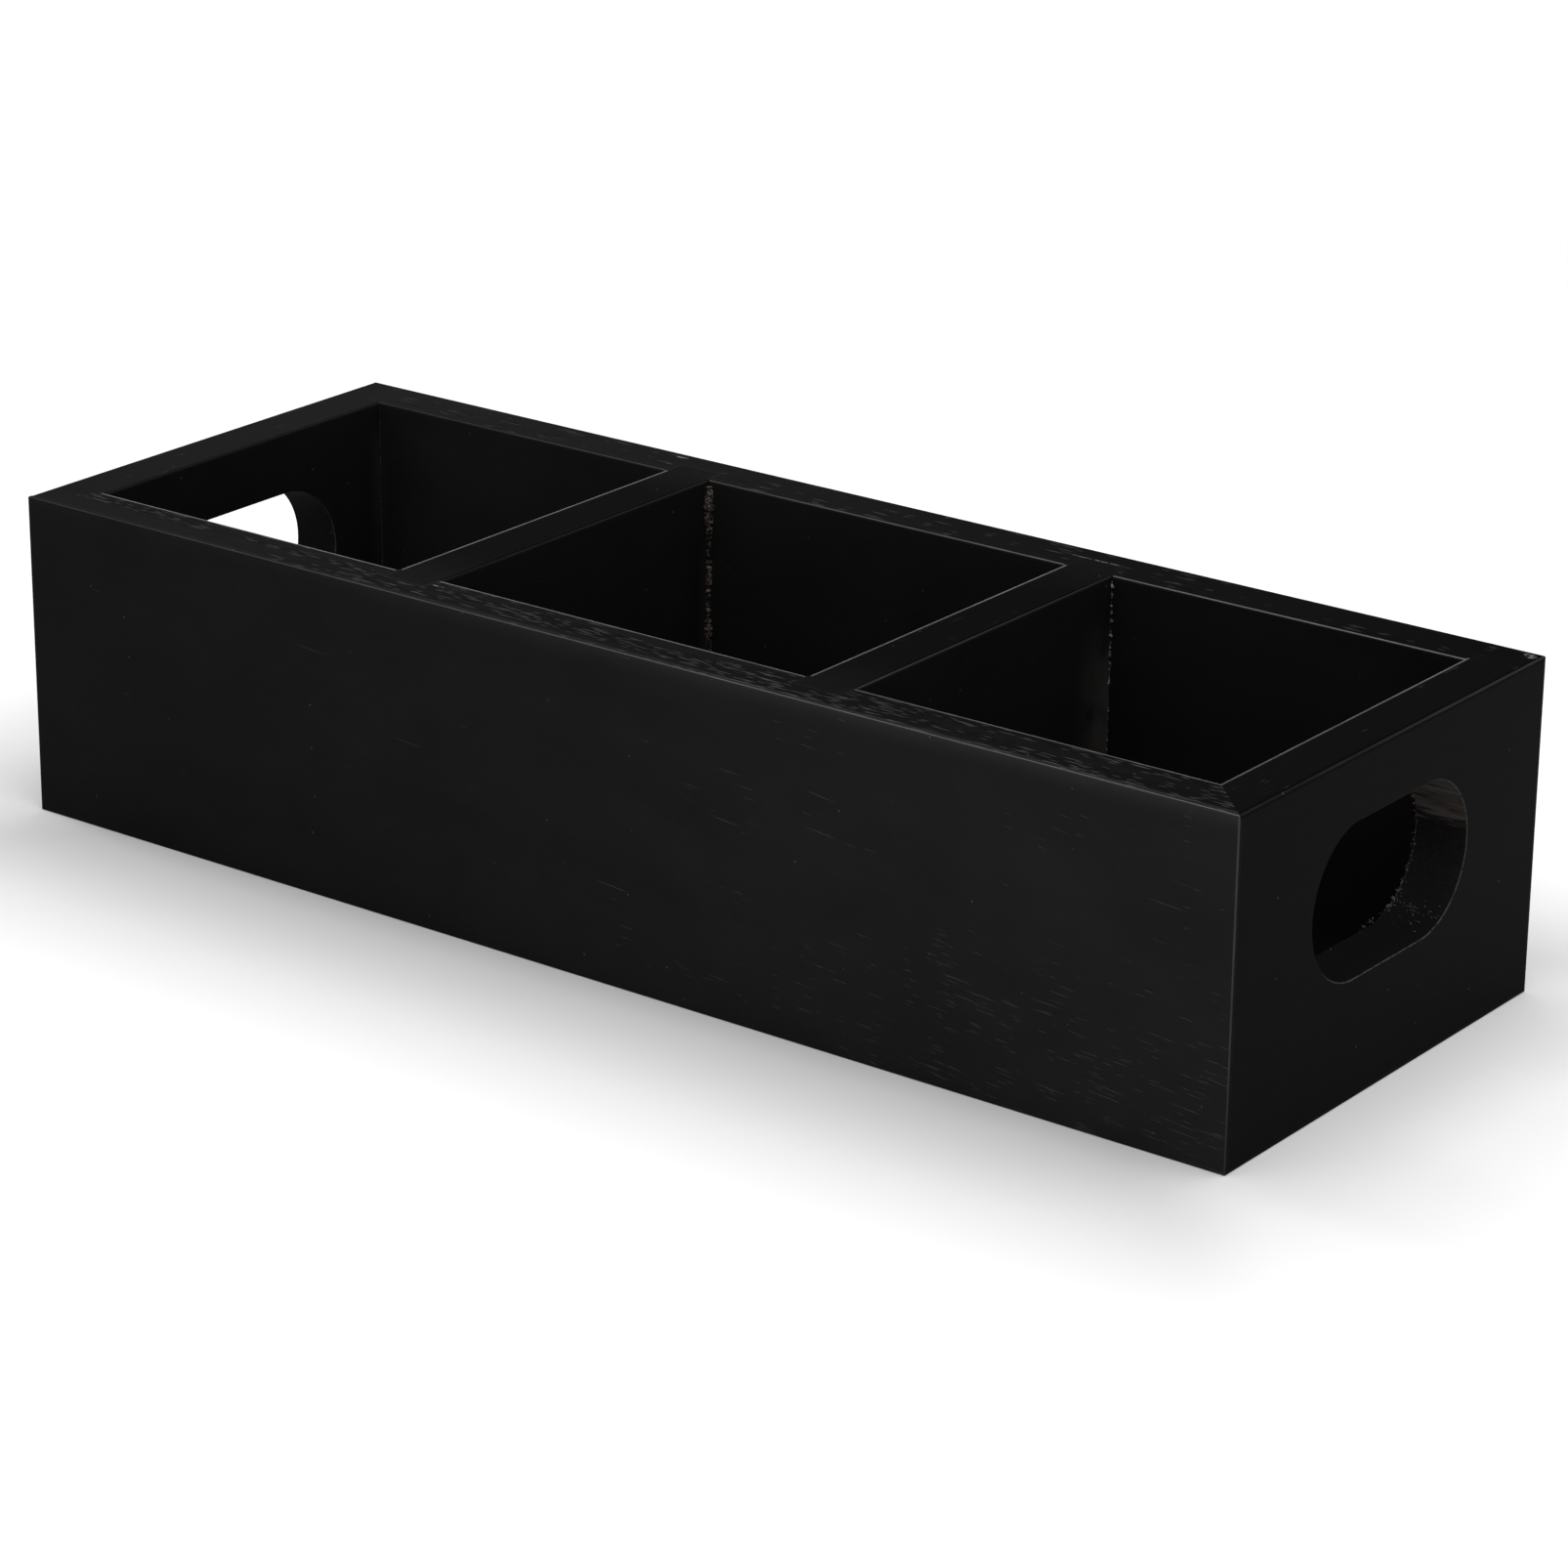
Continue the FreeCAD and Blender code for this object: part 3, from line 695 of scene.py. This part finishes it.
def drawn_steel():
    """Wire with fine drawing marks and dull stains."""
    material, graph = new_material("nail_wire")
    place = place_in_mm(graph)
    marks = graph.noise(graph.scaled(place, 1, 1, 0.08), 0.12, detail=3)
    stain = graph.noise(place, 0.9, detail=3)
    colour = graph.tint(graph.ramp(stain, 0.35, 0.7), STEEL_DARK, STEEL_PALE)
    roughness = graph.total(0.30, graph.product(stain, 0.2))
    height = graph.product(marks, 0.01)
    finish_surface(graph, colour, roughness, height, STEEL_SPECULAR, metallic=1.0)
    return material


def dried_glue():
    """Rough brown-grey glue, half covered by the lacquer, browner to the left."""
    material, graph = new_material("dried_glue")
    place = place_in_mm(graph)
    grit = graph.noise(place, 0.5, detail=3, roughness=0.65)
    cover = graph.ramp(graph.noise(graph.moved(place, 40, 11, 7), 1.5, detail=3), 0.42, 0.62)
    fresh = graph.tint(graph.ramp(graph.parts(place)[0], -20, 20), GLUE_TAN, GLUE_PALE)
    glue = graph.tint(graph.ramp(grit, 0.45, 0.62), GLUE_DARK, fresh)
    colour = graph.tint(cover, glue, LACQUER_PALE)
    roughness = graph.between(cover, 0.38, 0.55)
    finish_surface(graph, colour, roughness, graph.product(grit, 0.06), GLUE_SPECULAR)
    return material


def torn_fibre():
    """Fibres of wood that the cutter pulled up: pale where the lacquer missed them."""
    material, graph = new_material("torn_fibre")
    patch = graph.noise(place_in_mm(graph), 0.7, detail=2)
    colour = graph.tint(graph.ramp(patch, 0.4, 0.65), FIBRE_DARK, FIBRE_PALE)
    roughness = graph.between(patch, 0.5, 0.8)
    finish_surface(graph, colour, roughness, graph.product(patch, 0.02), MATT_SPECULAR)
    return material


def dress_nodes():
    """Materials for every CAD node."""
    finishes = {node: lacquered_board(node, **settings) for node, settings in BOARDS.items()}
    finishes["base_panel"] = stained_base()
    finishes["base_brads"] = finishes["corner_pins"] = drawn_steel()
    for name, node in frame["nodes"].items():
        node.data.materials.clear()
        node.data.materials.append(finishes[name])


def mesh_piece(name, points, faces, material):
    """New mesh that rides on the box and takes the material it is given."""
    mesh = bpy.data.meshes.new(name)
    mesh.from_pydata(points, [], faces)
    mesh.validate()
    mesh.shade_smooth()
    mesh.materials.append(material)
    piece = bpy.data.objects.new(name, mesh)
    bpy.context.scene.collection.objects.link(piece)
    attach(piece, "root")


def ring_tube(points, faces, rings):
    """Adds a tube through rings of points, capped at both ends, to lists of points and faces."""
    first = len(points)
    sides = len(rings[0])
    for ring in rings:
        points.extend(ring)
    for level in range(len(rings) - 1):
        for side in range(sides):
            a = first + level * sides + side
            b = first + level * sides + (side + 1) % sides
            faces.append((a, b, b + sides, a + sides))
    last = first + (len(rings) - 1) * sides
    faces.append(tuple(first + side for side in reversed(range(sides))))
    faces.append(tuple(last + side for side in range(sides)))


def glue_line(name, corner, size, lumpy, seed, material):
    """Ragged bead of squeezed-out glue up an inner corner, in lumps with thin stretches between."""
    low, high = BASE_TOP, TOP - GLUE_TOP_GAP
    rings = []
    for level in range(int((high - low) / GLUE_STEP) + 1):
        height = low + level * GLUE_STEP
        lumps = noise.noise(Vector((seed * 9.1, 0.3, height / GLUE_LUMP_SPAN)))
        slow = noise.noise(Vector((seed * 5.3, 4.7, height / GLUE_SLOW_SPAN)))
        ring = []
        for side in range(GLUE_SIDES):
            turn = 2 * math.pi * side / GLUE_SIDES
            out = Vector((math.cos(turn), math.sin(turn), 0))
            rough = noise.noise(out + Vector((seed, 0, height / GLUE_ROUGH_SPAN)))
            radius = GLUE_RADIUS * size * max(0.08, 0.62 + lumpy * lumps + 0.6 * slow + 0.35 * rough)
            ring.append((Vector((*corner, height)) + out * radius) * MM)
        rings.append(ring)
    points, faces = [], []
    ring_tube(points, faces, rings)
    mesh_piece(name, points, faces, material)


def glue_lines():
    """Glue at both faces of each divider, front and back, and thinly in the four inner corners."""
    material = dried_glue()
    seed = 0
    for divider in ("left_divider", "right_divider"):
        low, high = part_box(divider)
        for face, x in (("left", low.x / MM), ("right", high.x / MM)):
            for wall, y in (("front", -INNER_Y), ("back", INNER_Y)):
                seed += 1
                size, lumpy = GLUE_SIZES.get((divider, wall, face), GLUE_AT_DIVIDER)
                glue_line(f"glue_{divider}_{wall}_{face}", (x, y), size, lumpy, seed, material)
    for end, x in (("left", -INNER_X), ("right", INNER_X)):
        for wall, y in (("front", -INNER_Y), ("back", INNER_Y)):
            seed += 1
            glue_line(f"glue_corner_{wall}_{end}", (x, y), *GLUE_AT_CORNER, seed, material)


def fibre(points, faces, root, direction, length, width, bend):
    """One tapered fibre that curls as it leaves the wood."""
    side = direction.cross(bend).normalized()
    over = bend.normalized()
    rings = []
    for step in range(FIBRE_STEPS + 1):
        share = step / FIBRE_STEPS
        centre = root + direction * (length * share) + bend * (length * share * share)
        across = width * (1 - FIBRE_TAPER * share)
        ring = []
        for corner in range(FIBRE_SIDES):
            turn = 2 * math.pi * corner / FIBRE_SIDES
            ring.append((centre + (side * math.cos(turn) - over * math.sin(turn)) * across) * MM)
        rings.append(ring)
    ring_tube(points, faces, rings)


def slot_point(angle):
    """Point (y, z) on the outline of the hand slot, for an angle from +Y towards +Z."""
    y, z = math.cos(angle), math.sin(angle)
    # The straight runs are entered gently, so that no fibre lands far from its neighbours.
    reach = math.copysign(SLOT_REACH, y) * min(1, abs(y) * 2.5)
    return reach + SLOT_RADIUS * y, SLOT_MIDDLE + SLOT_RADIUS * z


def slot_fibres(end, inward, clusters, seed):
    """Torn fibres in a hand slot, from the inner face of the board outwards."""
    draw = random.Random(seed)
    points, faces = [], []
    for count, middle, spread, depth, depth_spread in clusters:
        for _ in range(count):
            angle = math.radians(draw.gauss(middle, spread))
            y, z = slot_point(angle)
            towards = Vector((0, -math.cos(angle), -math.sin(angle)))
            inset = min(abs(draw.gauss(depth, depth_spread)), WALL - 1)
            root = Vector((-inward * (INNER_X + inset), y, z)) - towards * FIBRE_ROOT
            lean = Vector((inward * draw.uniform(-0.2, 1), draw.uniform(-0.5, 0.5), draw.uniform(-0.5, 0.5)))
            direction = (towards * draw.uniform(0.25, 0.9) + lean).normalized()
            bend = Vector((draw.uniform(-0.4, 0.4), draw.uniform(-0.4, 0.4), draw.uniform(-0.5, 0.2)))
            length = draw.uniform(*FIBRE_LENGTHS)
            width = draw.uniform(*FIBRE_WIDTHS)
            fibre(points, faces, root, direction, length, width, bend)
    mesh_piece(f"fibres_{end}_slot", points, faces, torn_fibre())


def seen_ray(graph):
    """1 for rays that show a background: from the camera, mirrored or passed through."""
    path = graph.add("LightPath").outputs
    return graph.highest(path["Is Camera Ray"], path["Is Glossy Ray"], path["Is Transmission Ray"])


def floor_painted_lit_share(graph, place):
    """Share of light painted on the floor at a place in metres, less in a painted soft shadow round the box.
    """
    x, y, _ = graph.parts(place)
    past_end = graph.math("SUBTRACT", graph.math("ABSOLUTE", x), cad_box[1].x)
    past_side = graph.math("SUBTRACT", graph.math("ABSOLUTE", y), cad_box[1].y)
    aside, ahead = graph.math("MAXIMUM", past_end, 0.0), graph.math("MAXIMUM", past_side, 0.0)
    away = graph.math("SQRT", graph.total(graph.product(aside, aside), graph.product(ahead, ahead)))
    by_side = graph.ramp(graph.math("SUBTRACT", past_side, past_end), *SHADE_CORNER)
    depth = graph.between(by_side, SHADE_AT_ENDS, SHADE_AT_SIDES)
    return graph.math("SUBTRACT", 1.0, graph.product(graph.ramp(away, SHADE_REACH, 0.0), depth))


def floor():
    """White floor whose open part renders white, with a painted soft shadow that closes in round the box."""
    square = ((-1, -1), (1, -1), (1, 1), (-1, 1))
    points = [(x * FLOOR_HALF, y * FLOOR_HALF, cad_box[0].z) for x, y in square]
    mesh = bpy.data.meshes.new("floor")
    mesh.from_pydata(points, [], [(0, 1, 2, 3)])
    material, graph = new_material("floor_white")
    place = graph.add("TexCoord").outputs["Object"]
    lit = floor_painted_lit_share(graph, place)
    seen = seen_ray(graph)
    diffuse = graph.add("BsdfDiffuse", {"Color": graph.tint(lit, BLACK, FLOOR_WHITE)}).outputs[0]
    lift = graph.add("Emission", {"Color": WHITE, "Strength": graph.product(lit, FLOOR_LIFT)}).outputs[0]
    glow = graph.add("MixShader", {0: seen, 2: lift}).outputs[0]
    near = graph.add("AddShader", {0: diffuse, 1: glow}).outputs[0]
    backdrop = graph.add("Emission", {"Color": WHITE, "Strength": 1.0}).outputs[0]
    far_share = graph.product(graph.ramp(graph.length(place), *OPEN_FLOOR), seen)
    surface = graph.add("MixShader", {0: far_share, 1: near, 2: backdrop}).outputs[0]
    graph.add("OutputMaterial", {"Surface": surface})
    mesh.materials.append(material)
    ground = bpy.data.objects.new("floor", mesh)
    bpy.context.scene.collection.objects.link(ground)


def world():
    """White background, an even soft light, and a dim ceiling for what the lacquer mirrors."""
    made = bpy.data.worlds.new("studio")
    made.use_nodes = True
    bpy.context.scene.world = made
    graph = Graph(made.node_tree)
    right, back, up = graph.parts(graph.add("TexCoord").outputs["Generated"])
    path = graph.add("LightPath").outputs
    to_left = graph.product(graph.total(right, back), -1)
    ceiling = graph.between(graph.ramp(to_left, *CEILING_TURN), CEILING_DARK, CEILING_PALE)
    mirrored = graph.between(graph.ramp(up, *HORIZON), ceiling, 1.0)
    level = graph.between(path["Is Glossy Ray"], WORLD_LIGHT, mirrored)
    shown = graph.highest(path["Is Camera Ray"], path["Is Transmission Ray"])
    level = graph.between(shown, level, 1.0)
    background = graph.add("Background", {"Color": WHITE, "Strength": level})
    graph.add("OutputWorld", {"Surface": background.outputs[0]})


def lamps():
    """Soft rectangular lamps, each turned to face its target."""
    for name, place, target, width, depth, power in LAMPS:
        light = bpy.data.lights.new(name, "AREA")
        light.shape = "RECTANGLE"
        light.size, light.size_y = width, depth
        light.energy = power
        lamp = bpy.data.objects.new(name, light)
        lamp.location = place
        lamp.rotation_euler = (Vector(target) - Vector(place)).to_track_quat("-Z", "Y").to_euler()
        bpy.context.scene.collection.objects.link(lamp)


def camera():
    """Camera at the photograph's angle, with no shift."""
    azimuth, elevation = math.radians(CAMERA_AZIMUTH), math.radians(CAMERA_ELEVATION)
    level = math.cos(elevation)
    back = Vector((math.sin(azimuth) * level, -math.cos(azimuth) * level, math.sin(elevation)))
    right = Vector((0, 0, 1)).cross(back).normalized()
    up = back.cross(right)
    roll = Matrix.Rotation(math.radians(CAMERA_ROLL), 3, back)
    axes = Matrix((roll @ right, roll @ up, back)).transposed()
    data = bpy.data.cameras.new("photo_camera")
    data.lens = CAMERA_LENS
    data.sensor_width = CAMERA_SENSOR
    data.clip_start = 0.01
    data.clip_end = 50
    eye = bpy.data.objects.new("photo_camera", data)
    eye.matrix_world = Matrix.Translation(CAMERA_PLACE) @ axes.to_4x4()
    bpy.context.scene.collection.objects.link(eye)
    bpy.context.scene.camera = eye


dress_nodes()
glue_lines()
slot_fibres("left", 1, LEFT_FIBRES, 21)
slot_fibres("right", -1, RIGHT_FIBRES, 22)
floor()
world()
lamps()
camera()
bpy.context.scene.view_settings.view_transform = "Standard"
